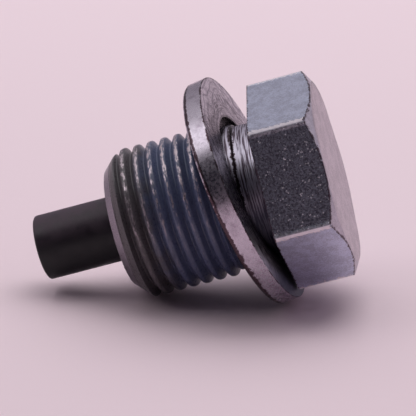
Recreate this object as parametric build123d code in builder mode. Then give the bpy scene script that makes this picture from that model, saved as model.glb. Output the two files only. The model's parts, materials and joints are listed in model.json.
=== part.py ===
from build123d import *
import os
from math import atan2, cos, degrees, radians, sin, tan

# Oil drain plug, lying on a flat surface: a hexagon-headed plug, a loose sealing washer and a magnet.
# The plug's axis runs in the XZ plane, with the head end raised. Z = 0 is the surface that it lies on.
# "Along" is measured on the plug's axis from under the head, with the head side positive.

# Head
hex_across_flats = 19.0
head_height = 6.75
head_end_diameter = 18.8
head_chamfer_angle = 30.0
head_turn = 16.6
under_head_fillet = 0.4

# Shank, from the head to the threaded end
thread_diameter = 15.78
thread_length = 9.25
neck_length = 2.3
neck_undercut = 0.77
shoulder_length = 2.3
shoulder_rise = 0.23
shoulder_step_length = 0.2
runout_length = 0.6
end_chamfer = 1.74

# Magnet, fixed in a drilled hole in the threaded end
magnet_diameter = 6.85
magnet_stand_out = 8.7
magnet_depth = 6.0
magnet_edge_round = 0.3
magnet_radial_gap = 0.02
drill_point_angle = 118.0

# Sealing washer, stamped and loose on the neck
washer_diameter = 24.6
washer_hole_play = 1.46
washer_thickness = 2.1
washer_edge_round = 0.35

# How the pieces lie: the washer leans on the neck, and the plug lies on the washer and on its thread
washer_lean = 9.3
washer_skew = -2.4
washer_to_neck_gap = 0.02
washer_to_head_gap = 0.16

# The neck is turned down under the thread, and the washer's hole is loose on it
neck_diameter = thread_diameter - 2 * neck_undercut
shoulder_diameter = neck_diameter + 2 * shoulder_rise
end_face_diameter = thread_diameter - 2 * end_chamfer
washer_hole_diameter = neck_diameter + washer_hole_play

# Places along the plug's axis
shoulder_start = -neck_length
step_end = shoulder_start - shoulder_step_length
shoulder_end = step_end - shoulder_length
thread_start = shoulder_end - runout_length
thread_end = thread_start - thread_length
end_face = thread_end - end_chamfer
magnet_tip = end_face - magnet_stand_out
magnet_seat = end_face + magnet_depth

hex_corner_radius = hex_across_flats / 2 / cos(radians(30))
head_chamfer_height = (hex_corner_radius - head_end_diameter / 2) * tan(radians(head_chamfer_angle))
bore_radius = magnet_diameter / 2 + magnet_radial_gap
drill_point_depth = bore_radius / tan(radians(drill_point_angle / 2))

# The washer's facing direction, as shares of along, up from the axis and across it
lean = radians(washer_lean)
skew = radians(washer_skew)
facing_along = cos(lean) * cos(skew)
facing_up = sin(lean)
facing_across = cos(lean) * sin(skew)

# The low edge of the washer's hole carries the neck
washer_rise = (
    washer_hole_diameter / 2 * cos(lean)
    - washer_thickness / 2 * sin(lean)
    - neck_diameter / 2
    - washer_to_neck_gap
)

# The first corner of the head that a washer facing this way would meet
corner_turns = [radians(head_turn + 60 * corner) for corner in range(6)]
nearest_corner = min(
    hex_corner_radius * (facing_up * cos(turn) + facing_across * sin(turn)) for turn in corner_turns
)
washer_along = (
    nearest_corner - washer_thickness / 2 - washer_to_head_gap - facing_up * washer_rise
) / facing_along

# The two points that touch the surface, on the washer's rim and at the end of the thread
washer_foot_along = washer_along + washer_diameter / 2 * sin(lean) - washer_thickness / 2 * cos(lean)
washer_foot_drop = washer_diameter / 2 * cos(lean) + washer_thickness / 2 * sin(lean) - washer_rise
thread_foot_drop = thread_diameter / 2
tilt = atan2(washer_foot_drop - thread_foot_drop, washer_foot_along - thread_end)

# The origin is on the surface, half way between the magnet's end and the head's end
reach_front = head_height * cos(tilt) + head_end_diameter / 2 * sin(tilt)
reach_back = (
    (magnet_tip + magnet_edge_round) * cos(tilt)
    - (magnet_diameter / 2 - magnet_edge_round) * sin(tilt)
    - magnet_edge_round
)
under_head = Vector(
    -(reach_front + reach_back) / 2,
    0,
    thread_foot_drop * cos(tilt) - thread_end * sin(tilt),
)
along = Vector(cos(tilt), 0, sin(tilt))
upward = Vector(-sin(tilt), 0, cos(tilt))
across = Vector(0, 1, 0)
plug_axis = Axis(under_head, along)

# Profiles are drawn with x along the axis and y out from it, and rounds across the axis
profile_plane = Plane(origin=under_head, x_dir=along, z_dir=-across)
round_plane = Plane(origin=under_head, x_dir=upward, z_dir=along)

washer_centre = under_head + along * washer_along + upward * washer_rise
washer_facing = along * facing_along + upward * facing_up + across * facing_across
washer_plane = Plane(origin=washer_centre, x_dir=upward.cross(washer_facing), z_dir=washer_facing)

# Plug: the head is a hexagon with its outer corners turned off to a cone, and the rest is turned
with BuildPart() as drain_plug:
    with BuildSketch(round_plane):
        RegularPolygon(hex_corner_radius, 6, rotation=-head_turn)
    extrude(amount=head_height)
    with BuildSketch(profile_plane):
        with BuildLine():
            Polyline(
                (head_height, head_end_diameter / 2),
                (head_height - head_chamfer_height, hex_corner_radius),
                (head_height - head_chamfer_height, hex_corner_radius + head_height),
                (head_height, hex_corner_radius + head_height),
                close=True,
            )
        make_face()
    revolve(axis=plug_axis, mode=Mode.SUBTRACT)

    with BuildSketch(profile_plane):
        with BuildLine():
            Polyline(
                (head_height / 2, 0),
                (head_height / 2, neck_diameter / 2 + under_head_fillet),
                (0, neck_diameter / 2 + under_head_fillet),
            )
            RadiusArc(
                (0, neck_diameter / 2 + under_head_fillet),
                (-under_head_fillet, neck_diameter / 2),
                -under_head_fillet,
            )
            Polyline(
                (-under_head_fillet, neck_diameter / 2),
                (shoulder_start, neck_diameter / 2),
                (step_end, shoulder_diameter / 2),
                (shoulder_end, shoulder_diameter / 2),
                (thread_start, thread_diameter / 2),
                (thread_end, thread_diameter / 2),
                (end_face, end_face_diameter / 2),
                (end_face, 0),
                (head_height / 2, 0),
            )
        make_face()
    revolve(axis=plug_axis)

    with BuildSketch(profile_plane):
        with BuildLine():
            Polyline(
                (end_face, 0),
                (end_face, bore_radius),
                (magnet_seat, bore_radius),
                (magnet_seat + drill_point_depth, 0),
                close=True,
            )
        make_face()
    revolve(axis=plug_axis, mode=Mode.SUBTRACT)

# Magnet: a plain bar with its outer end edge rounded
with BuildPart() as magnet:
    with BuildSketch(round_plane.offset(magnet_tip)):
        Circle(magnet_diameter / 2)
    extrude(amount=magnet_seat - magnet_tip)
    fillet(magnet.faces().sort_by(plug_axis)[0].edges(), magnet_edge_round)

# Washer: a flat stamped ring, rounded at its rim on the side that faces the thread
with BuildPart() as sealing_washer:
    with BuildSketch(washer_plane.offset(-washer_thickness / 2)):
        Circle(washer_diameter / 2)
        Circle(washer_hole_diameter / 2, mode=Mode.SUBTRACT)
    extrude(amount=washer_thickness)
    thread_side = sealing_washer.faces().sort_by(Axis(washer_centre, washer_facing))[0]
    fillet(thread_side.outer_wire().edges(), washer_edge_round)

drain_plug.part.label = "drain_plug"
magnet.part.label = "magnet"
sealing_washer.part.label = "sealing_washer"

os.makedirs("parts", exist_ok=True)
export_step(drain_plug.part, "parts/drain_plug.step")
export_step(magnet.part, "parts/magnet.step")
export_step(sealing_washer.part, "parts/sealing_washer.step")

thread_middle = under_head + along * ((thread_start + thread_end) / 2)
head_end = under_head + along * head_height
seal_face = washer_centre - washer_facing * (washer_thickness / 2)
print("tilt", round(degrees(tilt), 3), "washer along", round(washer_along, 3), "rise", round(washer_rise, 3))
print("under head", under_head)
print("along", along, "facing", washer_facing)
print("thread middle", thread_middle, "head end", head_end, "seal face centre", seal_face)
print("shoulder end", shoulder_end, "thread start", thread_start, "thread end", thread_end)
print("end face", end_face, "magnet tip", magnet_tip, "magnet seat", magnet_seat)
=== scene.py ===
import json
import logging
from collections.abc import Callable, Sequence
from dataclasses import dataclass
from enum import Enum, IntEnum
from functools import partial
from math import atan2, cos, degrees, hypot, pi, radians, sin, tan
from typing import Protocol

import bmesh
import bpy
from bmesh.types import BMEdge, BMesh, BMFace, BMVert
from bpy.types import Material, Node, NodeSocket, NodeTree, Object
from mathutils import Matrix, Vector


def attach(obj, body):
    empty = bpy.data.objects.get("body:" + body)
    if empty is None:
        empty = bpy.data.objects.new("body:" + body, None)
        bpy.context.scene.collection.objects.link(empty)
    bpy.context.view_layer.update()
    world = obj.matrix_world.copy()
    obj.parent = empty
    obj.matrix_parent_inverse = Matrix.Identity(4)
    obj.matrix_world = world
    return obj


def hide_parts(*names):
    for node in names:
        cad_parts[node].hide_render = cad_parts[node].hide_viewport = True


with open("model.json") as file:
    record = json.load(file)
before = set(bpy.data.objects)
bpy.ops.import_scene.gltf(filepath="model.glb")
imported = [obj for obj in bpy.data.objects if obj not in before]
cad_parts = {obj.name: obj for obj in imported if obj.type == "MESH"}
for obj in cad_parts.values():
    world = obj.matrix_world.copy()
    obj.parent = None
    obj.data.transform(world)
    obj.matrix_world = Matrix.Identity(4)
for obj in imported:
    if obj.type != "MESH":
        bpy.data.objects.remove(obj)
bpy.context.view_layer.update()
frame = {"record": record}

MM = 0.001
FULL_TURN = 2 * pi
SIXTH_TURN = radians(60.0)
log = logging.getLogger("drain_plug")

# Distances within which vertices are joined, or count as cut, in millimetres
MERGE_REACH = 1e-4
CUT_REACH = 0.004

Span = tuple[float, float]
Outline = list[Span]
Colour = tuple[float, float, float, float]
Rim = list[BMEdge]
RingShape = Callable[[float], Span]
Number = NodeSocket | float
Tint = NodeSocket | Colour


# Places and directions

@dataclass(frozen=True)
class Axes:
    """A piece's own place and directions. Its own x runs along its axis, in millimetres."""

    origin: Vector
    along: Vector
    across: Vector
    upward: Vector

    def matrix(self) -> Matrix:
        """The step from the piece's own millimetres to the row's metres."""
        turn = Matrix((self.along, self.across, self.upward)).transposed().to_4x4()
        return Matrix.Translation(self.origin) @ turn @ Matrix.Scale(MM, 4)

    def angles(self) -> tuple[float, float, float]:
        """The turn from the row's directions to the piece's, as x, y and z angles."""
        turn = Matrix((self.along, self.across, self.upward)).transposed()
        return tuple(turn.to_euler("XYZ"))

    def point(self, along: float, across: float, upward: float) -> Vector:
        """A point given in the piece's own millimetres, in the row's metres."""
        return self.matrix() @ Vector((along, across, upward))


def plug_axes(head_height: float) -> Axes:
    """Finds the plug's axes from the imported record's mount on the head's outer end.

    Args:
        head_height: Height of the head in millimetres.

    Returns:
        Axes with their origin on the plug's axis, under the head.
    """
    mounts = {mount["name"]: mount for mount in frame["record"]["mounts"]}
    along = Vector(mounts["head_end"]["axis"]).normalized()
    across = Vector((0.0, 1.0, 0.0))
    under_head = Vector(mounts["head_end"]["pos_m"]) - along * head_height * MM
    return Axes(under_head, along, across, along.cross(across))


# Mesh helpers. A turn is measured round the x axis from straight up, towards the near side (-y).

class Mark(Enum):
    """Numbers that a mesh carries at its vertices, by the names of their attributes."""

    CREST = "crest"
    CORNER = "corner"
    GROOVE = "groove"
    PITTED_AND_SHADED = "pitted_and_shaded"


class Finish(Protocol):
    """A finish that can be built on a piece's own axes."""

    def material(self, axes: Axes) -> Material:
        """Builds the material."""


def held(value: float) -> float:
    """A value held between 0 and 1."""
    return min(max(value, 0.0), 1.0)


def between(span: Span, share: float) -> float:
    """The number that lies a share of the way through a span."""
    return span[0] + (span[1] - span[0]) * share


def turn_of(place: Vector) -> float:
    """The turn at which a point lies round the x axis."""
    return atan2(-place.y, place.z)


def radius_of(place: Vector) -> float:
    """The distance of a point from the x axis."""
    return hypot(place.y, place.z)


def on_ring(along: float, radius: float, turn: float) -> Vector:
    """The point at a place along the x axis, a radius and a turn."""
    return Vector((along, -radius * sin(turn), radius * cos(turn)))


def arc(centre: Span, radius: float, start: float, end: float, steps: int) -> Outline:
    """Points on an arc, both ends included.

    Args:
        centre: Centre of the arc as (along, radius).
        radius: Radius of the arc.
        start: First angle in degrees, from the along direction towards outwards.
        end: Last angle in degrees.
        steps: Number of straight steps.

    Returns:
        The points as (along, radius).
    """
    turns = [radians(start + (end - start) * step / steps) for step in range(steps + 1)]
    return [(centre[0] + radius * cos(turn), centre[1] + radius * sin(turn)) for turn in turns]


def draw_outline(bm: BMesh, outline: Outline, closed: bool) -> list[BMVert | BMEdge]:
    """Draws an outline in the plane above the x axis, as (along, radius) points.

    Args:
        bm: The mesh to draw in.
        outline: The points, in order.
        closed: Whether the last point joins the first.

    Returns:
        The new vertices and edges.
    """
    verts = [bm.verts.new((along, 0.0, radius)) for along, radius in outline]
    pairs = list(zip(verts, verts[1:]))
    if closed:
        pairs.append((verts[-1], verts[0]))
    return verts + [bm.edges.new(pair) for pair in pairs]


def weld(bm: BMesh) -> None:
    """Joins the vertices that meet and turns all faces outwards."""
    bmesh.ops.remove_doubles(bm, verts=bm.verts[:], dist=MERGE_REACH)
    bmesh.ops.recalc_face_normals(bm, faces=bm.faces[:])


def spin_outline(bm: BMesh, outline: Outline, columns: int, closed: bool) -> None:
    """Turns an outline once round the x axis and closes its poles.

    Args:
        bm: The mesh to make it in.
        outline: Points as (along, radius).
        columns: Steps in the full turn.
        closed: Whether the outline is a closed loop.
    """
    bmesh.ops.spin(
        bm, geom=draw_outline(bm, outline, closed), cent=(0, 0, 0), axis=(1, 0, 0),
        angle=FULL_TURN, steps=columns, use_merge=True,
    )
    weld(bm)


def lay_rim(rim: Rim, along: float, radius: float) -> None:
    """Lays a rim on a round ring."""
    for vert in {vert for edge in rim for vert in edge.verts}:
        vert.co = on_ring(along, radius, turn_of(vert.co))


def round_rings(outline: Outline) -> list[RingShape]:
    """A ring shape for each point of an outline, the same at every turn."""
    return [lambda turn, ring=ring: ring for ring in outline]


def grow_rings(bm: BMesh, rim: Rim, shapes: Sequence[RingShape], zone: int) -> Rim:
    """Extrudes a closed rim once for each ring shape and lays the new ring by it.

    Args:
        bm: The mesh.
        rim: The open rim's edges.
        shapes: Each gives (along, radius) at a turn.
        zone: Finish slot of the new faces.

    Returns:
        The last rim's edges.
    """
    for shape in shapes:
        grown = bmesh.ops.extrude_edge_only(bm, edges=rim)["geom"]
        for item in grown:
            if isinstance(item, BMVert):
                turn = turn_of(item.co)
                item.co = on_ring(*shape(turn), turn)
            elif isinstance(item, BMFace):
                item.material_index = zone
        rim = [item for item in grown if isinstance(item, BMEdge) and item.is_boundary]
    return rim


def shade(bm: BMesh, sharp_angle: float, flat_zones: Sequence[int] = ()) -> None:
    """Shades a mesh smoothly, apart from its flat faces and its sharp edges.

    Args:
        bm: The mesh.
        sharp_angle: Turn from which an edge is sharp, in degrees.
        flat_zones: Finish slots of the faces that stay flat.
    """
    for face in bm.faces:
        face.smooth = face.material_index not in flat_zones
    for edge in bm.edges:
        angle = edge.calc_face_angle(0.0)
        edge.smooth = len(edge.link_faces) == 2 and angle < radians(sharp_angle)


def finish_piece(bm: BMesh, name: str, axes: Axes, node: str,
                 finishes: Sequence[Finish]) -> Object:
    """Places a finished mesh in the row, makes its object, ties it to the frame and dresses it.

    Args:
        bm: The mesh, in the piece's own millimetres. It is freed.
        name: Name of the object.
        axes: Where the piece lies.
        node: The CAD node that the piece stands for.
        finishes: The finishes, in the order of the mesh's finish slots.

    Returns:
        The new object, at the origin.
    """
    bm.transform(axes.matrix())
    mesh = bpy.data.meshes.new(name)
    bm.to_mesh(mesh)
    bm.free()
    piece = bpy.data.objects.new(name, mesh)
    bpy.context.scene.collection.objects.link(piece)
    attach(piece, "root")
    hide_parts(node)
    for finish in finishes:
        mesh.materials.append(finish.material(axes))
    return piece


# Node helper

class Sum(Enum):
    """The sums that a node tree takes of one or two numbers."""

    ADD = "ADD"
    SUBTRACT = "SUBTRACT"
    MULTIPLY = "MULTIPLY"
    MAXIMUM = "MAXIMUM"
    POWER = "POWER"
    ABSOLUTE = "ABSOLUTE"
    FRACT = "FRACT"


class Direction(Enum):
    """A piece's own directions, by the names of their sockets."""

    ALONG = "X"
    ACROSS = "Y"
    UPWARD = "Z"


class NodeBench:
    """A node tree with short calls that add a node, set it and join it."""

    def __init__(self, tree: NodeTree) -> None:
        """Clears the tree and keeps it."""
        self.tree = tree
        tree.nodes.clear()

    def feed(self, socket: NodeSocket, value: object) -> None:
        """Joins an output to an input, or sets the input.

        Args:
            socket: The input.
            value: An output socket, or a plain value.
        """
        if isinstance(value, NodeSocket):
            self.tree.links.new(value, socket)
        else:
            socket.default_value = value

    def add(self, kind: str, inputs: dict[str | int, object] | None = None,
            **settings: object) -> Node:
        """Adds a node.

        Args:
            kind: The node's type name without its Shader Node prefix.
            inputs: Values or output sockets by input name or number.
            **settings: Properties of the node.

        Returns:
            The node.
        """
        node = self.tree.nodes.new("ShaderNode" + kind)
        for key, value in settings.items():
            setattr(node, key, value)
        for key, value in (inputs or {}).items():
            self.feed(node.inputs[key], value)
        return node

    def own_place(self, axes: Axes) -> NodeSocket:
        """Turns object coordinates to a piece's own directions, in millimetres.

        Args:
            axes: The piece's axes.

        Returns:
            The place on the piece.
        """
        place = self.add("TexCoord").outputs["Object"]
        inputs = {
            "Vector": place,
            "Location": axes.origin,
            "Rotation": axes.angles(),
            "Scale": (MM, MM, MM),
        }
        return self.add("Mapping", inputs, vector_type="TEXTURE").outputs["Vector"]

    def stretch(self, place: NodeSocket, scale: Sequence[float]) -> NodeSocket:
        """A place scaled apart in its three directions."""
        return self.add("Mapping", {"Vector": place, "Scale": scale}).outputs["Vector"]

    def measure(self, place: NodeSocket, direction: Direction) -> NodeSocket:
        """How far a place lies in one of the piece's directions."""
        return self.add("SeparateXYZ", {0: place}).outputs[direction.value]

    def radius(self, place: NodeSocket) -> NodeSocket:
        """The distance of a place from the piece's axis."""
        flat = self.stretch(place, (0.0, 1.0, 1.0))
        return self.add("VectorMath", {0: flat}, operation="LENGTH").outputs["Value"]

    def ring_place(self, place: NodeSocket, quick: float = 9.0, slow: float = 0.16) -> NodeSocket:
        """Makes a place that changes quickly with the radius and slowly round the axis.

        Args:
            place: A place on the piece.
            quick: Scale outwards from the axis.
            slow: Scale round the axis.

        Returns:
            The changed place.
        """
        round_axis = self.stretch(place, (0.0, slow, slow))
        inputs = {
            "X": self.sums(Sum.MULTIPLY, self.radius(place), quick),
            "Y": self.measure(round_axis, Direction.ACROSS),
            "Z": self.measure(round_axis, Direction.UPWARD),
        }
        return self.add("CombineXYZ", inputs).outputs["Vector"]

    def noise(self, place: NodeSocket, scale: float, detail: float = 3.0, rough: float = 0.55,
              twist: float = 0.0) -> NodeSocket:
        """Noise at a place.

        Args:
            place: The place.
            scale: Cells in a unit of the place.
            detail: How many finer layers are added.
            rough: Strength of the finer layers.
            twist: How much the cells are bent.

        Returns:
            A number from 0 to 1.
        """
        inputs = {
            "Vector": place,
            "Scale": scale,
            "Detail": detail,
            "Roughness": rough,
            "Distortion": twist,
        }
        return self.add("TexNoise", inputs).outputs["Fac"]

    def ragged(self, place: NodeSocket, scale: float, reach: float, detail: float = 5.0,
               rough: float = 0.7) -> NodeSocket:
        """Noise from -reach to reach, which makes the edge between two tints ragged."""
        return self.spread(self.noise(place, scale, detail, rough), 0.3, 0.7, -reach, reach)

    def sums(self, kind: Sum, first: Number, second: Number = 0.0,
             clamp: bool = False) -> NodeSocket:
        """One sum, held between 0 and 1 where clamp says so."""
        inputs = {0: first, 1: second}
        return self.add("Math", inputs, operation=kind.value, use_clamp=clamp).outputs["Value"]

    def apart(self, first: Number, second: Number) -> NodeSocket:
        """How far apart two numbers are."""
        return self.sums(Sum.ABSOLUTE, self.sums(Sum.SUBTRACT, first, second))

    def spread(self, value: Number, low: float, high: float, new_low: float = 0.0,
               new_high: float = 1.0) -> NodeSocket:
        """Moves a number smoothly from one range to another.

        Args:
            value: The number.
            low: Where the first range starts. It may be above its end.
            high: Where the first range ends.
            new_low: What the number is at low and before it.
            new_high: What the number is at high and past it.

        Returns:
            The moved number.
        """
        inputs = {
            "Value": value,
            "From Min": low,
            "From Max": high,
            "To Min": new_low,
            "To Max": new_high,
        }
        return self.add("MapRange", inputs, interpolation_type="SMOOTHSTEP").outputs["Result"]

    def blend(self, share: Number, first: Tint, second: Tint) -> NodeSocket:
        """Mixes two colours.

        Args:
            share: The second colour's share.
            first: The colour at a share of 0.
            second: The colour at a share of 1.

        Returns:
            The mixed colour.
        """
        node = self.add("Mix", data_type="RGBA")
        sockets = {socket.identifier: socket for socket in [*node.inputs, *node.outputs]}
        self.feed(sockets["Factor_Float"], share)
        self.feed(sockets["A_Color"], first)
        self.feed(sockets["B_Color"], second)
        return sockets["Result_Color"]

    def bump(self, height: Number, depth: float, under: NodeSocket | None = None) -> NodeSocket:
        """Makes a surface normal from a height.

        Args:
            height: The height, from 0 to 1.
            depth: How high 1 is, in millimetres.
            under: A normal to build on.

        Returns:
            The normal.
        """
        inputs = {"Height": height, "Distance": depth * MM, "Strength": 1.0}
        if under is not None:
            inputs["Normal"] = under
        return self.add("Bump", inputs).outputs["Normal"]

    def attribute(self, mark: Mark) -> NodeSocket:
        """A number that the mesh carries at its vertices."""
        return self.add("Attribute", attribute_name=mark.value).outputs["Fac"]

    def marked(self, mark: Mark, ragged: NodeSocket, span: Span) -> NodeSocket:
        """From 0 to 1 where one of the mesh's numbers, made ragged, passes through a span."""
        return self.spread(self.sums(Sum.ADD, self.attribute(mark), ragged), *span)

    def surface(self, **inputs: Number | Tint) -> None:
        """Ends the tree with the surface shader.

        Args:
            **inputs: The shader's inputs by name, with underscores for spaces.
        """
        named = {key.replace("_", " "): value for key, value in inputs.items()}
        shader = self.add("BsdfPrincipled", named)
        self.add("OutputMaterial", {"Surface": shader.outputs["BSDF"]})


def new_material(name: str) -> tuple[Material, NodeBench]:
    """Makes an empty node material.

    Args:
        name: Name of the material.

    Returns:
        The material and its node bench.
    """
    material = bpy.data.materials.new(name)
    material.use_nodes = True
    return material, NodeBench(material.node_tree)


# Finishes

@dataclass(frozen=True)
class SatinZinc:
    """Satin zinc plate: fine grain and pits, painted shade on some flats and low parts, bare worn
    corners and dirt along turned edges.
    """

    name: str
    tint: Colour = (0.56, 0.54, 0.66, 1.0)
    dull_tint: Colour = (0.49, 0.46, 0.55, 1.0)
    bare_tint: Colour = (0.97, 0.92, 0.96, 1.0)
    dirt_tint: Colour = (0.10, 0.07, 0.09, 1.0)
    pit_and_shade_tint: Colour = (0.10, 0.10, 0.125, 1.0)
    speck_tint: Colour = (0.95, 0.93, 1.0, 1.0)
    roughness: float = 0.34
    bare_roughness: float = 0.35
    grain_size: float = 0.16
    grain_depth: float = 0.012
    pit_depth: float = 0.0
    knock_depth: float = 0.20
    ring_marks: float = 0.0
    shade_heights: Span = (6.0, -3.0)
    shade_share: float = 0.0
    bare_span: Span = (0.46, 0.60)
    dirt_span: Span = (0.66, 0.92)
    wear: float = 1.0
    pitted_wear: float = 0.15

    def material(self, axes: Axes) -> Material:
        """Builds the material on a piece's own axes.

        Args:
            axes: The piece's axes.

        Returns:
            The material.
        """
        material, bench = new_material(self.name)
        place = bench.own_place(axes)
        grain = bench.noise(place, 1.0 / self.grain_size, detail=4.0, rough=0.62)
        base = self._plate(bench, place, grain)
        rough = bench.spread(grain, 0.3, 0.7, self.roughness - 0.06, self.roughness + 0.08)
        normal = bench.bump(grain, self.grain_depth)
        if self.pit_depth:
            base, normal = self._pit(bench, place, base, normal)
        if self.wear:
            base, rough = self._wear_off(bench, place, base, rough)
        if self.ring_marks:
            marks = bench.noise(bench.ring_place(place), 1.0, rough=0.6)
            normal = bench.bump(marks, self.ring_marks, normal)
        bench.surface(Base_Color=base, Metallic=1.0, Roughness=rough, Normal=normal)
        return material

    def _plate(self, bench: NodeBench, place: NodeSocket, grain: NodeSocket) -> NodeSocket:
        """Mixes the plate's two tints and darkens them towards the underside as painted shade.

        Args:
            bench: The material's node bench.
            place: The place on the piece.
            grain: The fine grain.

        Returns:
            The plate's colour.
        """
        blotch = bench.noise(place, 0.8, detail=5.0, rough=0.65)
        blotch = bench.spread(blotch, 0.35, 0.65, 0.0, 0.6)
        dull = bench.sums(Sum.ADD, blotch, bench.spread(grain, 0.35, 0.65, -0.1, 0.5))
        base = bench.blend(bench.spread(dull, 0.0, 1.0), self.tint, self.dull_tint)
        if self.shade_share:
            # Painted shade: the plate darkens towards the underside.
            height = bench.measure(place, Direction.UPWARD)
            low = bench.spread(height, *self.shade_heights, 0.0, self.shade_share)
            base = bench.blend(low, base, self.pit_and_shade_tint)
        return base

    def _pit(self, bench: NodeBench, place: NodeSocket, base: NodeSocket,
             normal: NodeSocket) -> tuple[NodeSocket, NodeSocket]:
        """Lays dark pits, bright flecks and knocked corners over the plate, and darkens whole flats
        as painted shade.

        Args:
            bench: The material's node bench.
            place: The place on the piece.
            base: The plate's colour.
            normal: The plate's normal.

        Returns:
            The new colour and normal.
        """
        # Painted shade: this mark darkens some flats as a whole, along with their pits.
        pitted_and_shaded = bench.attribute(Mark.PITTED_AND_SHADED)
        pits = bench.noise(place, 4.6, detail=4.0, rough=0.7)
        pits = bench.spread(pits, 0.35, 0.65)
        share = bench.sums(Sum.MULTIPLY, pitted_and_shaded, bench.spread(pits, 0.0, 1.0, 1.0, 0.72))
        base = bench.blend(share, base, self.pit_and_shade_tint)
        normal = bench.bump(bench.sums(Sum.MULTIPLY, pits, pitted_and_shaded), self.pit_depth, normal)
        dots = bench.add("TexVoronoi", {"Vector": place, "Scale": 3.6}).outputs["Distance"]
        crowd = bench.noise(place, 1.7, rough=0.6)
        crowd = bench.spread(crowd, 0.38, 0.66, 0.0, 0.42)
        flecks = bench.spread(bench.sums(Sum.SUBTRACT, crowd, dots), 0.0, 0.18)
        flecks = bench.sums(Sum.MULTIPLY, flecks, pitted_and_shaded)
        flecks = bench.sums(Sum.MULTIPLY, flecks, 0.75, clamp=True)
        base = bench.blend(flecks, base, self.speck_tint)
        near = bench.spread(bench.attribute(Mark.CORNER), 0.35, 0.9)
        knocks = bench.noise(place, 4.0, detail=4.0, rough=0.7)
        knocks = bench.sums(Sum.MULTIPLY, knocks, near)
        return base, bench.bump(knocks, self.knock_depth, normal)

    def _wear_off(self, bench: NodeBench, place: NodeSocket, base: NodeSocket,
                  rough: NodeSocket) -> tuple[NodeSocket, NodeSocket]:
        """Bares the corners, less so on the flats with pits and painted shade, and lays dirt along
        turned edges.

        Args:
            bench: The material's node bench.
            place: The place on the piece.
            base: The plate's colour.
            rough: The plate's roughness.

        Returns:
            The new colour and roughness.
        """
        share = self.wear
        if self.pit_depth:
            pitted_and_shaded = bench.attribute(Mark.PITTED_AND_SHADED)
            share = bench.spread(pitted_and_shaded, 0.2, 0.9, self.wear, self.pitted_wear)
        ragged = bench.ragged(place, 2.6, 0.32, rough=0.75)
        bare = bench.marked(Mark.CORNER, ragged, self.bare_span)
        bare = bench.sums(Sum.MULTIPLY, bare, share, clamp=True)
        base = bench.blend(bare, base, self.bare_tint)
        rougher = bench.spread(bare, 0.0, 1.0, 0.0, self.bare_roughness)
        dirty = bench.marked(Mark.GROOVE, ragged, self.dirt_span)
        dirty = bench.sums(Sum.MULTIPLY, dirty, self.wear, clamp=True)
        base = bench.blend(dirty, base, self.dirt_tint)
        return base, bench.sums(Sum.ADD, rough, rougher)


@dataclass(frozen=True)
class TurnedShank:
    """Turned steel on the neck and shoulder: marks that run round the axis, painted shade in the
    step and on the neck's underside.
    """

    name: str = "turned_shank"
    tint: Colour = (0.68, 0.64, 0.75, 1.0)
    dark_tint: Colour = (0.12, 0.09, 0.12, 1.0)
    # Colour of the painted shade in the step between shoulder and neck.
    dirt_tint: Colour = (0.045, 0.030, 0.035, 1.0)
    shade_tint: Colour = (0.030, 0.034, 0.050, 1.0)
    roughness: float = 0.34
    mark_depth: float = 0.016
    step_place: float = -2.42
    step_shade_span: Span = (0.22, 0.11)
    shade_heights: Span = (3.5, -1.0)
    shade_share: float = 0.9

    def material(self, axes: Axes) -> Material:
        """Builds the material on a piece's own axes.

        Args:
            axes: The piece's axes.

        Returns:
            The material.
        """
        material, bench = new_material(self.name)
        place = bench.own_place(axes)
        along = bench.measure(place, Direction.ALONG)
        fine = bench.noise(bench.stretch(place, (11.0, 0.5, 0.5)), 1.0, detail=4.0, rough=0.65)
        streaks = bench.noise(bench.stretch(place, (7.0, 0.35, 0.35)), 1.0, rough=0.6)
        base = bench.blend(bench.spread(streaks, 0.44, 0.58), self.tint, self.dark_tint)
        # Painted shade: a dark ragged ring at the step between shoulder and neck.
        to_step = bench.apart(along, self.step_place)
        to_step = bench.sums(Sum.ADD, to_step, bench.ragged(place, 2.4, 0.16))
        dirty = bench.spread(to_step, *self.step_shade_span)
        base = bench.blend(dirty, base, self.dirt_tint)
        # Painted shade: the colour darkens towards the neck's underside.
        height = bench.measure(place, Direction.UPWARD)
        low = bench.spread(height, *self.shade_heights, 0.0, self.shade_share)
        base = bench.blend(low, base, self.shade_tint)
        rough = bench.spread(fine, 0.25, 0.75, self.roughness - 0.08, self.roughness + 0.12)
        normal = bench.bump(fine, self.mark_depth)
        bench.surface(Base_Color=base, Metallic=1.0, Roughness=rough, Normal=normal)
        return material


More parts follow.
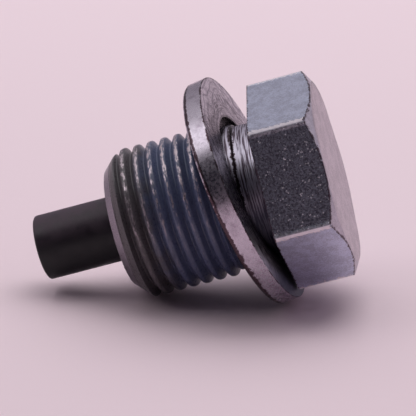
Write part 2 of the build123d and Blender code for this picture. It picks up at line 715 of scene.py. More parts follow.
@dataclass(frozen=True)
class CoatedThread:
    """Blue-grey coating on the rolled thread, browner on its first turns, bare at its tip."""

    name: str = "coated_thread"
    blue: Colour = (0.082, 0.098, 0.172, 1.0)
    brown: Colour = (0.074, 0.065, 0.073, 1.0)
    rubbed_highlight_tint: Colour = (0.60, 0.51, 0.55, 1.0)
    lead_in_tint: Colour = (0.28, 0.25, 0.29, 1.0)
    lead_in_span: Span = (-15.50, -15.66)
    blue_span: Span = (-13.0, -10.5)
    rubbed_span: Span = (0.955, 1.02)
    highlight_heights: Span = (-1.0, 3.0)
    top_highlight_heights: Span = (5.0, 7.8)
    burr_place: float = -15.5
    burr_reach: float = 0.09
    burr_depth: float = 0.05
    pit_depth: float = 0.010
    roughness: float = 0.30

    def material(self, axes: Axes) -> Material:
        """Builds the material on a piece's own axes.

        Args:
            axes: The piece's axes.

        Returns:
            The material.
        """
        material, bench = new_material(self.name)
        place = bench.own_place(axes)
        along = bench.measure(place, Direction.ALONG)
        drift = bench.ragged(place, 0.35, 0.6, detail=3.0, rough=0.55)
        share = bench.spread(bench.sums(Sum.ADD, along, drift), *self.blue_span)
        coat = bench.blend(share, self.brown, self.blue)
        # Worn bare crests with a painted highlight on their upper side.
        rub_and_highlight = self._rub_and_highlight(bench, place)
        lead_in = bench.spread(along, *self.lead_in_span)
        base = bench.blend(rub_and_highlight, coat, self.rubbed_highlight_tint)
        base = bench.blend(lead_in, base, self.lead_in_tint)
        metal = bench.sums(Sum.MAXIMUM, bench.spread(rub_and_highlight, 0.0, 1.0, 0.0, 0.85), lead_in)
        pits = bench.noise(place, 4.5, detail=4.0, rough=0.6)
        rough = bench.spread(pits, 0.3, 0.7, self.roughness - 0.06, self.roughness + 0.12)
        normal = bench.bump(pits, self.pit_depth)
        burr = bench.spread(bench.apart(along, self.burr_place), 0.0, self.burr_reach)
        normal = bench.bump(burr, self.burr_depth, normal)
        bench.surface(Base_Color=base, Metallic=metal, Roughness=rough, Normal=normal)
        return material

    def _rub_and_highlight(self, bench: NodeBench, place: NodeSocket) -> NodeSocket:
        """Finds where the crests are worn bare, held to their upper side and widened near the top
        by a painted highlight.

        Args:
            bench: The material's node bench.
            place: The place on the piece.

        Returns:
            How bare the steel is, with the painted highlight, from 0 to 1.
        """
        scuff = bench.noise(bench.stretch(place, (5.0, 1.2, 1.2)), 1.0, detail=5.0, rough=0.7)
        scuff = bench.spread(scuff, 0.3, 0.7, -0.13, 0.07)
        height = bench.measure(place, Direction.UPWARD)
        rub_and_highlight = bench.sums(Sum.ADD, bench.attribute(Mark.CREST), scuff)
        # Painted highlight: more of the crest shows bare near the very top.
        rub_and_highlight = bench.sums(Sum.ADD, rub_and_highlight, bench.spread(height, *self.top_highlight_heights, 0.0, 0.04))
        rub_and_highlight = bench.spread(rub_and_highlight, *self.rubbed_span)
        # Painted highlight: the bare crests show mostly on the upper side.
        upper = bench.spread(height, *self.highlight_heights, 0.12, 1.0)
        return bench.sums(Sum.MULTIPLY, rub_and_highlight, upper)


@dataclass(frozen=True)
class WasherSteel:
    """Stamped washer: turning streaks on its faces, worn bands on its rim, dirt and painted shade
    on its edges, painted shade on its low part.
    """

    name: str
    tint: Colour = (0.54, 0.49, 0.56, 1.0)
    dark_tint: Colour = (0.36, 0.31, 0.37, 1.0)
    # Colour of the dirt and painted shade along the rim's edges.
    dirt_tint: Colour = (0.085, 0.056, 0.068, 1.0)
    scored_tint: Colour = (0.055, 0.045, 0.065, 1.0)
    shade_tint: Colour = (0.085, 0.09, 0.125, 1.0)
    edge_tint: Colour = (1.0, 1.0, 1.0, 1.0)
    roughness: float = 0.25
    mottle_depth: float = 0.001
    rim_marks: float = 0.006
    ring_marks: float = 0.0
    scored_radii: Span = (10.8, 9.2)
    shade_heights: Span = (-4.0, -9.0)
    rough_heights: Span = (1.0, -6.0)
    mark_heights: Span = (-3.0, 3.0)
    streak_heights: Span = (0.0, 5.0)
    dirt_span: Span = (0.54, 0.84)

    def material(self, axes: Axes) -> Material:
        """Builds the material on a piece's own axes.

        Args:
            axes: The piece's axes.

        Returns:
            The material.
        """
        material, bench = new_material(self.name)
        place = bench.own_place(axes)
        blotch = bench.noise(place, 1.1, detail=4.0, rough=0.6)
        mottle = bench.noise(place, 3.2, rough=0.6)
        base = bench.blend(bench.spread(blotch, 0.45, 0.8), self.tint, self.dark_tint)
        rough = bench.spread(mottle, 0.3, 0.7, self.roughness - 0.05, self.roughness + 0.08)
        normal = bench.bump(mottle, self.mottle_depth)
        if self.ring_marks:
            height = bench.measure(place, Direction.UPWARD)
            base = self._streak(bench, place, height, base)
            lower = bench.spread(height, *self.rough_heights, 0.0, 0.3)
            rough = bench.sums(Sum.ADD, rough, lower)
            marks = bench.noise(bench.ring_place(place), 0.30, detail=2.0, rough=0.5, twist=0.6)
            shown = bench.spread(height, *self.mark_heights, 0.1, 1.0)
            marks = bench.sums(Sum.MULTIPLY, marks, shown)
            normal = bench.bump(marks, self.ring_marks, normal)
        if self.rim_marks:
            bands = bench.stretch(place, (7.0, 0.22, 0.22))
            marks = bench.noise(bands, 1.0, detail=4.0, rough=0.65)
            normal = bench.bump(marks, self.rim_marks, normal)
        # Dirt and painted shade along the rim's edges.
        dirty = bench.marked(Mark.GROOVE, bench.ragged(place, 1.6, 0.3), self.dirt_span)
        base = bench.blend(dirty, base, self.dirt_tint)
        bench.surface(
            Base_Color=base, Metallic=1.0, Roughness=rough, Specular_Tint=self.edge_tint,
            Normal=normal,
        )
        return material

    def _streak(self, bench: NodeBench, place: NodeSocket, height: NodeSocket,
                base: NodeSocket) -> NodeSocket:
        """Lays turning streaks over a face, scores it near the hole and darkens its low part as
        painted shade.

        Args:
            bench: The material's node bench.
            place: The place on the washer.
            height: How far the place lies upwards.
            base: The face's colour.

        Returns:
            The new colour.
        """
        radius = bench.radius(place)
        waves = bench.noise(place, 0.26, detail=0.6, rough=0.4)
        waves = bench.sums(Sum.MULTIPLY, waves, 5.0)
        waves = bench.sums(Sum.ADD, bench.sums(Sum.MULTIPLY, radius, 0.9), waves)
        lines = bench.apart(bench.sums(Sum.FRACT, waves), 0.5)
        lines = bench.spread(lines, 0.24, 0.0)
        shown = bench.spread(height, *self.streak_heights, 0.1, 0.95)
        base = bench.blend(bench.sums(Sum.MULTIPLY, lines, shown), base, self.dark_tint)
        scored = bench.noise(bench.stretch(place, (1.0, 3.4, 0.6)), 1.0, rough=0.6)
        scored = bench.spread(scored, 0.36, 0.64, -1.2, 1.2)
        scored = bench.spread(bench.sums(Sum.ADD, radius, scored), *self.scored_radii)
        cuts = bench.noise(bench.ring_place(place), 0.55, detail=2.0, rough=0.5)
        cuts = bench.spread(cuts, 0.42, 0.56, 0.40, 1.0)
        base = bench.blend(bench.sums(Sum.MULTIPLY, scored, cuts), base, self.scored_tint)
        # Painted shade: the face darkens towards its low part.
        low = bench.spread(height, *self.shade_heights, 0.0, 0.95)
        return bench.blend(low, base, self.shade_tint)


@dataclass(frozen=True)
class BlackMagnet:
    """Near-black magnet with a dull skin and faint brown mottling, stronger on its upper side as a
    painted sheen.
    """

    name: str = "black_magnet"
    dark: Colour = (0.004, 0.004, 0.006, 1.0)
    brown: Colour = (0.056, 0.034, 0.050, 1.0)
    sheen_heights: Span = (0.2, 3.2)
    grain_depth: float = 0.008
    gloss: float = 0.38
    roughness: float = 0.42

    def material(self, axes: Axes) -> Material:
        """Builds the material on a piece's own axes.

        Args:
            axes: The piece's axes.

        Returns:
            The material.
        """
        material, bench = new_material(self.name)
        place = bench.own_place(axes)
        mottle = bench.noise(place, 0.75, detail=4.0, rough=0.6)
        grain = bench.noise(place, 5.0, rough=0.6)
        # Painted sheen: the brown mottling grows towards the upper side.
        upper = bench.spread(bench.measure(place, Direction.UPWARD), *self.sheen_heights)
        dust_and_sheen = bench.sums(Sum.MULTIPLY, bench.spread(mottle, 0.25, 0.7, 0.5, 1.0), upper)
        base = bench.blend(dust_and_sheen, self.dark, self.brown)
        rough = bench.spread(mottle, 0.3, 0.7, self.roughness - 0.08, self.roughness + 0.12)
        normal = bench.bump(grain, self.grain_depth)
        bench.surface(
            Base_Color=base, Roughness=rough, Specular_IOR_Level=self.gloss, Normal=normal,
        )
        return material


@dataclass(frozen=True)
class PalePaper:
    """Pale pinkish matt sheet under the plug."""

    name: str = "pale_paper"
    tint: Colour = (0.83, 0.672, 0.73, 1.0)
    roughness: float = 0.8
    fibre_scale: float = 900.0
    fibre_depth: float = 0.02

    def material(self) -> Material:
        """Builds the material.

        Returns:
            The material.
        """
        material, bench = new_material(self.name)
        place = bench.add("TexCoord").outputs["Object"]
        normal = bench.bump(bench.noise(place, self.fibre_scale), self.fibre_depth)
        bench.surface(Base_Color=self.tint, Roughness=self.roughness, Normal=normal)
        return material


# Plug

class PlugZone(IntEnum):
    """The plug's surfaces that have a finish of their own, with their finish slots."""

    THREAD = 0
    THREADED_END = 1
    SHANK = 2
    BEARING_FACE = 3
    FLATS = 4
    CONE = 5
    HEAD_END = 6


@dataclass
class PlugBody:
    """Hexagon head, neck, shoulder and rolled thread, all from one bar. Sizes in millimetres.

    Places along the axis are measured from under the head, with the head's side positive.
    """

    across_flats: float = 19.0
    head_height: float = 6.75
    head_end_radius: float = 9.4
    cone_angle: float = radians(30.0)
    head_turn: float = radians(16.6)
    under_head_fillet: float = 0.4
    neck_radius: float = 7.12
    neck_end: float = -2.3
    step_end: float = -2.5
    step_round: float = 0.05
    shoulder_radius: float = 7.35
    shoulder_end: float = -4.8
    thread_start: float = -5.4
    thread_radius: float = 7.89
    thread_pitch: float = 1.44
    crest_round: float = 0.52
    crest_flat: float = radians(24.0)
    shoulder_round: float = 0.20
    root_round: float = 0.12
    flank_angle: float = radians(60.0)
    crest_on_top: float = -13.97
    end_face: float = -16.39
    end_face_radius: float = 6.15
    end_round: float = 0.08
    bore_radius: float = 3.445
    bore_depth: float = 6.0
    drill_point_angle: float = radians(118.0)
    corner_round: float = 0.34
    columns: int = 192
    # The rings on the bearing face, the flats and the cone, as shares of the way across them
    bearing_rings: tuple[float, ...] = (0.55, 0.92, 1.0)
    flat_rings: tuple[float, ...] = (0.03, 0.06, 0.2, 0.4, 0.6, 0.8, 0.92, 0.96, 1.0)
    cone_rings: tuple[float, ...] = (0.12, 0.5, 0.85)
    # The rings on the head's end, as (how far they drop from it, radius)
    head_end_rings: tuple[Span, ...] = (
        (0.06, 9.25), (0.02, 9.02), (0.0, 8.7), (0.0, 7.2), (0.0, 5.2), (0.0, 2.6), (0.0, 0.0),
    )
    sharp_angle: float = 32.0
    wear_reach: float = 0.95
    dirt_reach: float = 0.34
    # How pitted each flat is, and how dark as painted shade, one value per flat round the head.
    flat_pitting_and_shade: tuple[float, ...] = (0.26, 1.0, 0.0, 0.5, 0.4, 0.3)

    def build(self, axes: Axes) -> Object:
        """Models the plug and dresses it.

        Args:
            axes: The plug's axes.

        Returns:
            The plug's object.
        """
        bm = bmesh.new()
        self._roll_thread(bm)
        self._trim_thread(bm)
        self._close_threaded_end(bm)
        self._grow_head(bm)
        weld(bm)
        self._round_corners(bm)
        self._carry_marks(bm)
        shade(bm, self.sharp_angle, (PlugZone.FLATS, PlugZone.BEARING_FACE))
        finishes = [self._finish(zone) for zone in PlugZone]
        return finish_piece(bm, "plug_body", axes, "drain_plug", finishes)

    def _finish(self, zone: PlugZone) -> Finish:
        """Chooses the finish of one of the plug's surfaces.

        Args:
            zone: The surface.

        Returns:
            Its finish.
        """
        match zone:
            case PlugZone.THREAD:
                return CoatedThread()
            case PlugZone.THREADED_END:
                return SatinZinc(
                    "faced_end", tint=(0.36, 0.33, 0.37, 1.0), roughness=0.32,
                    ring_marks=0.006, wear=0.0,
                )
            case PlugZone.SHANK:
                return TurnedShank()
            case PlugZone.BEARING_FACE:
                # Painted shade: the bearing face under the head is dark.
                return SatinZinc(
                    "bearing_face", tint=(0.22, 0.21, 0.25, 1.0),
                    dull_tint=(0.16, 0.15, 0.18, 1.0), wear=0.0,
                )
            case PlugZone.FLATS:
                return SatinZinc(
                    "plated_flats", tint=(0.75, 0.79, 0.96, 1.0),
                    dull_tint=(0.55, 0.57, 0.70, 1.0), pit_depth=0.02,
                )
            case PlugZone.CONE:
                # The cone's low part is darkened as painted shade.
                return SatinZinc(
                    "plated_cone", tint=(0.88, 0.82, 0.91, 1.0),
                    dull_tint=(0.70, 0.64, 0.72, 1.0), roughness=0.36,
                    ring_marks=0.010, shade_share=0.45,
                )
            case PlugZone.HEAD_END:
                return SatinZinc(
                    "plated_head_end", tint=(0.64, 0.575, 0.625, 1.0),
                    dull_tint=(0.46, 0.415, 0.46, 1.0), roughness=0.40, ring_marks=0.020,
                )

    def _off_middle(self, turn: float) -> float:
        """The angle between a turn and the middle of its flat."""
        return (turn + self.head_turn) % SIXTH_TURN - SIXTH_TURN / 2

    def _hex_radius(self, turn: float) -> float:
        """The hexagon's radius at a turn."""
        return self.across_flats / 2 / cos(self._off_middle(turn))

    def _cone_foot(self, turn: float) -> float:
        """How far along the axis the cone cuts the hexagon's side at a turn."""
        cut = self._hex_radius(turn) - self.head_end_radius
        return self.head_height - cut * tan(self.cone_angle)

    def _thread_outline(self) -> Outline:
        """Draws one pitch of the thread, from root to root with its crest in the middle.

        Returns:
            The points as (along, radius).
        """
        flank, flat = degrees(self.flank_angle), degrees(self.crest_flat)
        crest_centre = self.thread_radius - self.crest_round
        crest = arc((0.0, crest_centre), self.crest_round, 90 + flat, 90 - flat, steps=6)
        inset = self.crest_round - self.shoulder_round
        centre = (inset * sin(self.crest_flat), crest_centre + inset * cos(self.crest_flat))
        shoulder = arc(centre, self.shoulder_round, 90 - flat, 90 - flank, steps=3)[1:]
        top = shoulder[-1]
        half = self.thread_pitch / 2
        run = half - top[0] - self.root_round * sin(self.flank_angle)
        foot = (top[0] + run, top[1] - run * tan(self.flank_angle))
        root_centre = (half, foot[1] + self.root_round * cos(self.flank_angle))
        root = arc(root_centre, self.root_round, 270 - flank, 270, steps=2)
        middle = ((top[0] + foot[0]) / 2, (top[1] + foot[1]) / 2)
        right_side = shoulder + [middle] + root
        left_side = [(-along, radius) for along, radius in reversed(right_side)]
        return left_side + crest + right_side

    def _roll_thread(self, bm: BMesh) -> None:
        """Winds one pitch of the thread's outline round the axis, past both of its ends.

        Args:
            bm: The empty mesh.
        """
        pitch, spare = self.thread_pitch, 3
        turns_back = int((self.crest_on_top - self.end_face) / pitch) + spare
        start = self.crest_on_top - (self.head_turn / FULL_TURN + turns_back) * pitch
        turns = int((self.shoulder_end - start) / pitch) + spare
        outline = [(along + start, radius) for along, radius in self._thread_outline()]
        geom = draw_outline(bm, outline, closed=False)
        first_column = Matrix.Rotation(-self.head_turn, 3, "X")
        bmesh.ops.rotate(bm, verts=bm.verts[:], cent=(0, 0, 0), matrix=first_column)
        bmesh.ops.spin(
            bm, geom=geom, cent=(0, 0, 0), axis=(1, 0, 0), angle=FULL_TURN, steps=self.columns,
            dvec=(pitch / self.columns, 0, 0),
        )
        one_turn = bm.verts[:] + bm.edges[:] + bm.faces[:]
        for count in range(1, turns):
            copy = bmesh.ops.duplicate(bm, geom=one_turn)["geom"]
            verts = [item for item in copy if isinstance(item, BMVert)]
            bmesh.ops.translate(bm, verts=verts, vec=(pitch * count, 0, 0))
        bmesh.ops.remove_doubles(bm, verts=bm.verts[:], dist=MERGE_REACH)
        for face in bm.faces:
            face.material_index = PlugZone.THREAD

    def _trim_thread(self, bm: BMesh) -> None:
        """Cuts the thread square, turns its end cone and runs it out into the shoulder.

        Args:
            bm: The mesh, with the rolled thread.
        """
        for place, facing in ((self.end_face, -1.0), (self.shoulder_end, 1.0)):
            bmesh.ops.bisect_plane(
                bm, geom=bm.verts[:] + bm.edges[:] + bm.faces[:], dist=CUT_REACH,
                plane_co=(place, 0, 0), plane_no=(facing, 0, 0), clear_outer=True,
            )
        root = self._thread_outline()[0][1]
        run_out = self.shoulder_end - self.thread_start
        crest_mark = bm.verts.layers.float.new(Mark.CREST.value)
        for vert in bm.verts:
            turn = turn_of(vert.co)
            end_cone = self.end_face_radius + vert.co.x - self.end_face
            radius = min(radius_of(vert.co), end_cone)
            crest = max(0.0, (radius - root) / (self.thread_radius - root))
            fade = held((vert.co.x - self.thread_start) / run_out)
            radius += (self.shoulder_radius - radius) * fade * fade * (3 - 2 * fade)
            vert[crest_mark] = crest * (1 - fade)
            vert.co = on_ring(vert.co.x, radius, turn)
        self._drop_odd_columns(bm)

    def _drop_odd_columns(self, bm: BMesh) -> None:
        """Takes out the rims' vertices that lie between the regular columns.

        Args:
            bm: The mesh, with the trimmed thread.
        """
        odd = []
        for vert in bm.verts:
            column = (turn_of(vert.co) + self.head_turn) / FULL_TURN * self.columns
            if vert.is_boundary and abs(column - round(column)) > 0.01:
                odd.append(vert)
        bmesh.ops.dissolve_verts(bm, verts=odd)

    def _rim(self, bm: BMesh, place: float, reach: float = 0.02) -> Rim:
        """The open rim of edges at a place along the axis."""
        return [
            edge for edge in bm.edges
            if edge.is_boundary and all(abs(vert.co.x - place) < reach for vert in edge.verts)
        ]

    def _close_threaded_end(self, bm: BMesh) -> None:
        """Faces the threaded end and drills the magnet's hole in it.

        Args:
            bm: The mesh, with the trimmed thread.
        """
        edge, inset = self.end_round, self.end_round * 0.6
        rim = self._rim(bm, self.end_face)
        lay_rim(rim, self.end_face + inset, self.end_face_radius + inset)
        seat = self.end_face + self.bore_depth
        point = seat + self.bore_radius / tan(self.drill_point_angle / 2)
        rings = [
            (self.end_face, self.end_face_radius - edge),
            (self.end_face, (self.end_face_radius + self.bore_radius) / 2),
            (self.end_face, self.bore_radius + edge),
            (self.end_face + edge, self.bore_radius),
            (seat, self.bore_radius),
            (point, 0.0),
        ]
        grow_rings(bm, rim, round_rings(rings), PlugZone.THREADED_END)

    def _grow_head(self, bm: BMesh) -> None:
        """Grows the shoulder, neck and hexagon head out of the thread's rim.

        Args:
            bm: The mesh, with the trimmed thread.
        """
        rim = self._rim(bm, self.shoulder_end)
        lay_rim(rim, self.shoulder_end, self.shoulder_radius)
        soft = self.step_round
        shank = [
            (self.step_end - 1.0, self.shoulder_radius),
            (self.step_end - soft, self.shoulder_radius),
            (self.step_end + soft / 2, self.shoulder_radius - soft / 2),
            (self.neck_end - soft / 2, self.neck_radius + soft / 3),
            (self.neck_end + soft, self.neck_radius),
            (self.neck_end / 2, self.neck_radius),
        ]
        fillet = self.under_head_fillet
        shank += arc((-fillet, self.neck_radius + fillet), fillet, 270, 360, steps=6)
        head_end = [(self.head_height - drop, radius) for drop, radius in self.head_end_rings]
        shapes = {
            PlugZone.SHANK: round_rings(shank),
            PlugZone.BEARING_FACE: [
                partial(self._bearing_ring, share) for share in self.bearing_rings
            ],
            PlugZone.FLATS: [partial(self._flat_ring, share) for share in self.flat_rings],
            PlugZone.CONE: [partial(self._cone_ring, share) for share in self.cone_rings],
            PlugZone.HEAD_END: round_rings(head_end),
        }
        for zone in shapes:
            rim = grow_rings(bm, rim, shapes[zone], zone)

    def _bearing_ring(self, share: float, turn: float) -> Span:
        """A ring that is a share of the way from the fillet to the hexagon."""
        start = self.neck_radius + self.under_head_fillet
        return 0.0, start + (self._hex_radius(turn) - start) * share

    def _flat_ring(self, share: float, turn: float) -> Span:
        """A ring that is a share of the way from under the head to the cone."""
        return self._cone_foot(turn) * share, self._hex_radius(turn)

    def _cone_ring(self, share: float, turn: float) -> Span:
        """A ring that is a share of the way from the flats to the head's end."""
        foot, radius = self._cone_foot(turn), self._hex_radius(turn)
        return (
            foot + (self.head_height - foot) * share,
            radius + (self.head_end_radius - radius) * share,
        )

    def _round_corners(self, bm: BMesh, reach: float = 0.01) -> None:
        """Rounds the hexagon's six corners.

        Args:
            bm: The mesh, with the head.
            reach: How near to a corner line a vertex has to be.
        """
        corner_radius = self.across_flats / 2 / cos(SIXTH_TURN / 2)
        on_corner = {
            vert for vert in bm.verts
            if radius_of(vert.co) > corner_radius - reach and vert.co.x > -reach
        }
        corners = [edge for edge in bm.edges if all(vert in on_corner for vert in edge.verts)]
        bmesh.ops.bevel(
            bm, geom=corners, offset=self.corner_round, offset_type="OFFSET", segments=4,
            profile=0.5, affect="EDGES", material=-1, clamp_overlap=True,
        )

    def _carry_marks(self, bm: BMesh) -> None:
        """Keeps at each vertex of the head how near it is to a worn corner and a turned edge.

        Args:
            bm: The mesh.
        """
        corner_mark = bm.verts.layers.float.new(Mark.CORNER.value)
        groove_mark = bm.verts.layers.float.new(Mark.GROOVE.value)
        pitted_and_shaded_mark = bm.verts.layers.float.new(Mark.PITTED_AND_SHADED.value)
        half_flats = self.across_flats / 2
        half_side = half_flats * tan(SIXTH_TURN / 2)
        under_head, on_flats, off_end = -0.01, 0.02, 0.05
        for vert in bm.verts:
            if vert.co.x < under_head:
                continue
            turn = turn_of(vert.co)
            sixth = int((turn + self.head_turn) % FULL_TURN / SIXTH_TURN)
            # Painted shade: each flat gets its own darkness with its pitting.
            vert[pitted_and_shaded_mark] = self.flat_pitting_and_shade[sixth]
            beyond = vert.co.x - self._cone_foot(turn)
            if beyond < on_flats:
                to_corner = half_side - abs(half_flats * tan(self._off_middle(turn)))
                vert[corner_mark] = max(0.0, 1.0 - to_corner / self.wear_reach)
            if radius_of(vert.co) > self.head_end_radius + off_end:
                to_edge = min(abs(beyond), vert.co.x)
                vert[groove_mark] = max(0.0, 1.0 - to_edge / self.dirt_reach)


# Magnet

@dataclass
class Magnet:
    """Bar magnet in the plug's threaded end. Sizes are in millimetres, on the plug's axes."""

    radius: float = 3.425
    tip: float = -25.09
    middle: float = -20.0
    seat: float = -10.39
    edge_round: float = 0.3
    columns: int = 128
    sharp_angle: float = 40.0

    def build(self, axes: Axes) -> Object:
        """Models the magnet and dresses it.

        Args:
            axes: The plug's axes.

        Returns:
            The magnet's object.
        """
        bm = bmesh.new()
        edge = self.edge_round
        outline = [(self.tip, 0.0), (self.tip, self.radius * 0.5)]
        outline += arc((self.tip + edge, self.radius - edge), edge, 180, 90, steps=6)
        outline += [(self.middle, self.radius), (self.seat, self.radius), (self.seat, 0.0)]
        spin_outline(bm, outline, self.columns, closed=False)
        shade(bm, self.sharp_angle)
        return finish_piece(bm, "bar_magnet", axes, "magnet", [BlackMagnet()])


# Washer

class WasherZone(IntEnum):
    """The washer's surfaces that have a finish of their own, with their finish slots."""

    RIM = 0
    FACES = 1
    HOLE = 2


@dataclass
class SealingWasher:
    """Stamped washer that leans on the neck beside the head. Sizes are in millimetres."""

    radius: float = 12.3
    hole_radius: float = 7.85
    thickness: float = 2.1
    rim_round: float = 0.35
    edge_round: float = 0.06
    lean: float = radians(9.3)
    skew: float = radians(-2.4)
    along: float = -2.921
    rise: float = 0.437
    columns: int = 256
    sharp_angle: float = 50.0
    face_facing: float = 0.7
    # Where the rim holds dirt and painted shade, each from the washer's upper part to its low part
    shade_heights: Span = (6.0, -4.0)
    head_side_reach: Span = (0.34, 0.14)
    thread_side_start: Span = (0.08, 0.16)
    thread_side_reach: float = 0.2
    rounded_dirt_and_shade: Span = (0.66, 1.16)

    def axes(self, plug: Axes) -> Axes:
        """Finds the washer's own axes, with their origin at its centre.

        Args:
            plug: The plug's axes.

        Returns:
            The washer's axes.
        """
        facing = (
            plug.along * cos(self.lean) * cos(self.skew)
            + plug.upward * sin(self.lean)
            + plug.across * cos(self.lean) * sin(self.skew)
        ).normalized()
        across = plug.upward.cross(facing).normalized()
        centre = plug.point(self.along, 0.0, self.rise)
        return Axes(centre, facing, across, facing.cross(across))

    def build(self, plug: Axes) -> Object:
        """Models the washer and dresses it.

        Args:
            plug: The plug's axes, which the washer leans against.

        Returns:
            The washer's object.
        """
        bm = bmesh.new()
        spin_outline(bm, self._outline(), self.columns, closed=True)
        self._sort_faces(bm)
        self._carry_marks(bm)
        shade(bm, self.sharp_angle)
        finishes = [self._finish(zone) for zone in WasherZone]
        return finish_piece(
            bm, "stamped_washer", self.axes(plug), "sealing_washer", finishes,
        )

    def _finish(self, zone: WasherZone) -> Finish:
        """Chooses the finish of one of the washer's surfaces.

        Args:
            zone: The surface.

        Returns:
            Its finish.
        """
        match zone:
            case WasherZone.RIM:
                return WasherSteel("washer_rim")
            case WasherZone.FACES:
                return WasherSteel(
                    "washer_faces", tint=(0.66, 0.63, 0.68, 1.0),
                    dark_tint=(0.22, 0.20, 0.25, 1.0), edge_tint=(0.80, 0.79, 0.81, 1.0),
                    rim_marks=0.0, ring_marks=0.008,
                )
            case WasherZone.HOLE:
                # Painted shade: the hole's surface is near-black.
                return WasherSteel(
                    "shaded_hole", tint=(0.05, 0.045, 0.055, 1.0),
                    dark_tint=(0.03, 0.025, 0.03, 1.0),
                )

    def _outline(self) -> Outline:
        """Draws the section, with a point beside each rounded edge to keep flat parts flat.

        Returns:
            The points as (along, radius).
        """
        half, small, big = self.thickness / 2, self.edge_round, self.rim_round
        rim, hole, inner = self.radius, self.hole_radius, -half + big
        near, clear, face = 0.03, 0.26, self.radius * 0.83
        outline = [(-half, face), (-half, rim - big - clear), (-half, rim - big - near)]
        outline += arc((inner, rim - big), big, 180, 90, steps=6)
        outline += [(inner + near, rim), (inner + clear, rim)]
        outline += [(half - clear, rim), (half - small - near, rim)]
        outline += arc((half - small, rim - small), small, 90, 0, steps=3)
        outline += [(half, rim - small - near), (half, rim - clear)]
        outline += [(half, face), (half, hole + small + near)]
        outline += arc((half - small, hole + small), small, 0, -90, steps=3)
        outline += [(half - small - near, hole), (-half + small + near, hole)]
        outline += arc((-half + small, hole + small), small, 270, 180, steps=3)
        outline += [(-half, hole + small + near)]
        return outline

    def _sort_faces(self, bm: BMesh) -> None:
        """Gives the flat faces and the hole their own finish slots.

        Args:
            bm: The mesh.
        """
        for face in bm.faces:
            if radius_of(face.calc_center_median()) < self.hole_radius + self.edge_round:
                face.material_index = WasherZone.HOLE
            elif abs(face.normal.x) > self.face_facing:
                face.material_index = WasherZone.FACES

    def _carry_marks(self, bm: BMesh) -> None:
        """Keeps at each vertex how near it is to an edge that holds dirt and painted shade.

        Args:
            bm: The mesh.
        """
        groove_mark = bm.verts.layers.float.new(Mark.GROOVE.value)
        head_side = self.thickness / 2
        rounded = self.rim_round - self.thickness / 2
        top, bottom = self.shade_heights
        for vert in bm.verts:
            inward = self.radius - radius_of(vert.co)
            low = held((top - vert.co.z) / (top - bottom))
            to_head_side = hypot(head_side - vert.co.x, inward) / between(self.head_side_reach, low)
            to_thread_side = hypot(rounded - vert.co.x, inward)
            to_thread_side -= between(self.thread_side_start, low)
            dirt = held(1.0 - min(to_head_side, to_thread_side / self.thread_side_reach))
            # Dirt and painted shade on the rounded edge, heavier towards the low part.
            if vert.co.x < rounded and inward < self.rim_round:
                dirt = max(dirt, between(self.rounded_dirt_and_shade, low))
            vert[groove_mark] = dirt


# Studio

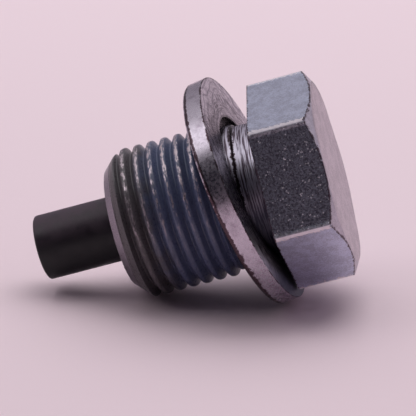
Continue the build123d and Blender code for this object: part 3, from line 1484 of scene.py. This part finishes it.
@dataclass
class Studio:
    """Pale floor, dim soft surroundings, one soft light overhead, and the camera."""

    floor_size: float = 4.0
    floor_steps: int = 8
    camera_azimuth: float = radians(-3.994)
    camera_elevation: float = radians(16.736)
    camera_roll: float = radians(0.997)
    camera_distance: float = 0.29483
    camera_target: tuple[float, float, float] = (0.001136, 0.0, 0.009428)
    camera_reach: Span = (0.01, 20.0)
    lens: float = 246.06
    sensor_width: float = 36.0
    overhead: Colour = (1.15, 1.127, 1.15, 1.15)
    overhead_focus: float = 3.0
    back: Colour = (0.293, 0.262, 0.306, 1.0)
    dark_side: Colour = (0.016, 0.016, 0.022, 1.0)
    dark_side_toward: tuple[float, float, float] = (0.05, -0.93, 0.36)
    dark_side_reach: Span = (62.0, 44.0)
    window_azimuth: float = radians(-102.0)
    window_elevation: float = radians(46.0)
    window_colour: Colour = (1.6, 1.55, 1.6, 1.0)
    window_reach: Span = (20.0, 9.0)
    softbox_place: tuple[float, float, float] = (0.02, 0.37, 0.5)
    softbox_size: float = 0.76
    softbox_power: float = 2.15

    def build(self) -> None:
        """Sets up the floor, the surroundings, the light and the camera."""
        bpy.context.scene.view_settings.view_transform = "Standard"
        self._lay_floor()
        self._light_surroundings()
        self._hang_softbox()
        self._aim_camera()

    def _lay_floor(self) -> None:
        """Lays the pale floor at height 0."""
        bm = bmesh.new()
        bmesh.ops.create_grid(
            bm, x_segments=self.floor_steps, y_segments=self.floor_steps,
            size=self.floor_size / 2,
        )
        mesh = bpy.data.meshes.new("floor")
        bm.to_mesh(mesh)
        bm.free()
        floor = bpy.data.objects.new("floor", mesh)
        bpy.context.scene.collection.objects.link(floor)
        mesh.materials.append(PalePaper().material())

    def _light_surroundings(self) -> None:
        """Lights the scene from all round, with the near side left dark."""
        world = bpy.data.worlds.new("soft_surroundings")
        world.use_nodes = True
        bpy.context.scene.world = world
        bench = NodeBench(world.node_tree)
        toward = bench.add("TexCoord").outputs["Generated"]
        height = bench.measure(toward, Direction.UPWARD)
        share = bench.sums(Sum.MAXIMUM, height, 0.0)
        share = bench.sums(Sum.POWER, share, self.overhead_focus)
        tint = bench.blend(share, self.back, self.overhead)
        near = Vector(self.dark_side_toward).normalized()
        dark = self._patch(bench, toward, near, self.dark_side_reach)
        tint = bench.blend(dark, tint, self.dark_side)
        window = self._toward(self.window_azimuth, self.window_elevation)
        bright = self._patch(bench, toward, window, self.window_reach)
        tint = bench.blend(bright, tint, self.window_colour)
        shader = bench.add("Background", {"Color": tint, "Strength": 1.0})
        bench.add("OutputWorld", {"Surface": shader.outputs["Background"]})

    @staticmethod
    def _toward(azimuth: float, elevation: float) -> Vector:
        """The direction at an azimuth, measured from +y towards +x, and an elevation."""
        level = cos(elevation)
        return Vector((sin(azimuth) * level, cos(azimuth) * level, sin(elevation)))

    @staticmethod
    def _patch(bench: NodeBench, toward: NodeSocket, centre: Vector, reach: Span) -> NodeSocket:
        """Makes a soft round patch of the surroundings.

        Args:
            bench: The surroundings' node bench.
            toward: The direction looked in.
            centre: The direction of the patch's middle.
            reach: Angles from the middle at which the patch starts and is full, in degrees.

        Returns:
            A number that is 0 outside the patch and 1 inside it.
        """
        inputs = {0: toward, 1: tuple(centre)}
        facing = bench.add("VectorMath", inputs, operation="DOT_PRODUCT").outputs["Value"]
        return bench.spread(facing, *(cos(radians(angle)) for angle in reach))

    def _hang_softbox(self) -> None:
        """Hangs the soft light overhead."""
        light = bpy.data.lights.new("softbox", "AREA")
        light.shape = "DISK"
        light.size = self.softbox_size
        light.energy = self.softbox_power
        lamp = bpy.data.objects.new("softbox", light)
        lamp.location = self.softbox_place
        lamp.visible_glossy = False
        bpy.context.scene.collection.objects.link(lamp)

    def _aim_camera(self) -> None:
        """Places the camera at the photo's viewing angle."""
        forward = self._toward(self.camera_azimuth, -self.camera_elevation)
        level = forward.cross(Vector((0, 0, 1))).normalized()
        over = level.cross(forward)
        right = level * cos(self.camera_roll) + over * sin(self.camera_roll)
        up = right.cross(forward)
        data = bpy.data.cameras.new("camera")
        data.lens = self.lens
        data.sensor_width = self.sensor_width
        data.clip_start, data.clip_end = self.camera_reach
        camera = bpy.data.objects.new("camera", data)
        turn = Matrix((right, up, -forward)).transposed().to_4x4()
        place = Vector(self.camera_target) - forward * self.camera_distance
        camera.matrix_world = Matrix.Translation(place) @ turn
        bpy.context.scene.collection.objects.link(camera)
        bpy.context.scene.camera = camera


def main() -> None:
    """Builds the plug, the magnet, the washer and the studio, and reports each piece."""
    logging.basicConfig(level=logging.INFO, format="%(name)s %(message)s")
    body = PlugBody()
    axes = plug_axes(body.head_height)
    for piece in (body.build(axes), Magnet().build(axes), SealingWasher().build(axes)):
        log.info("%s: %d faces", piece.name, len(piece.data.polygons))
    Studio().build()


if __name__ == "__main__":
    main()
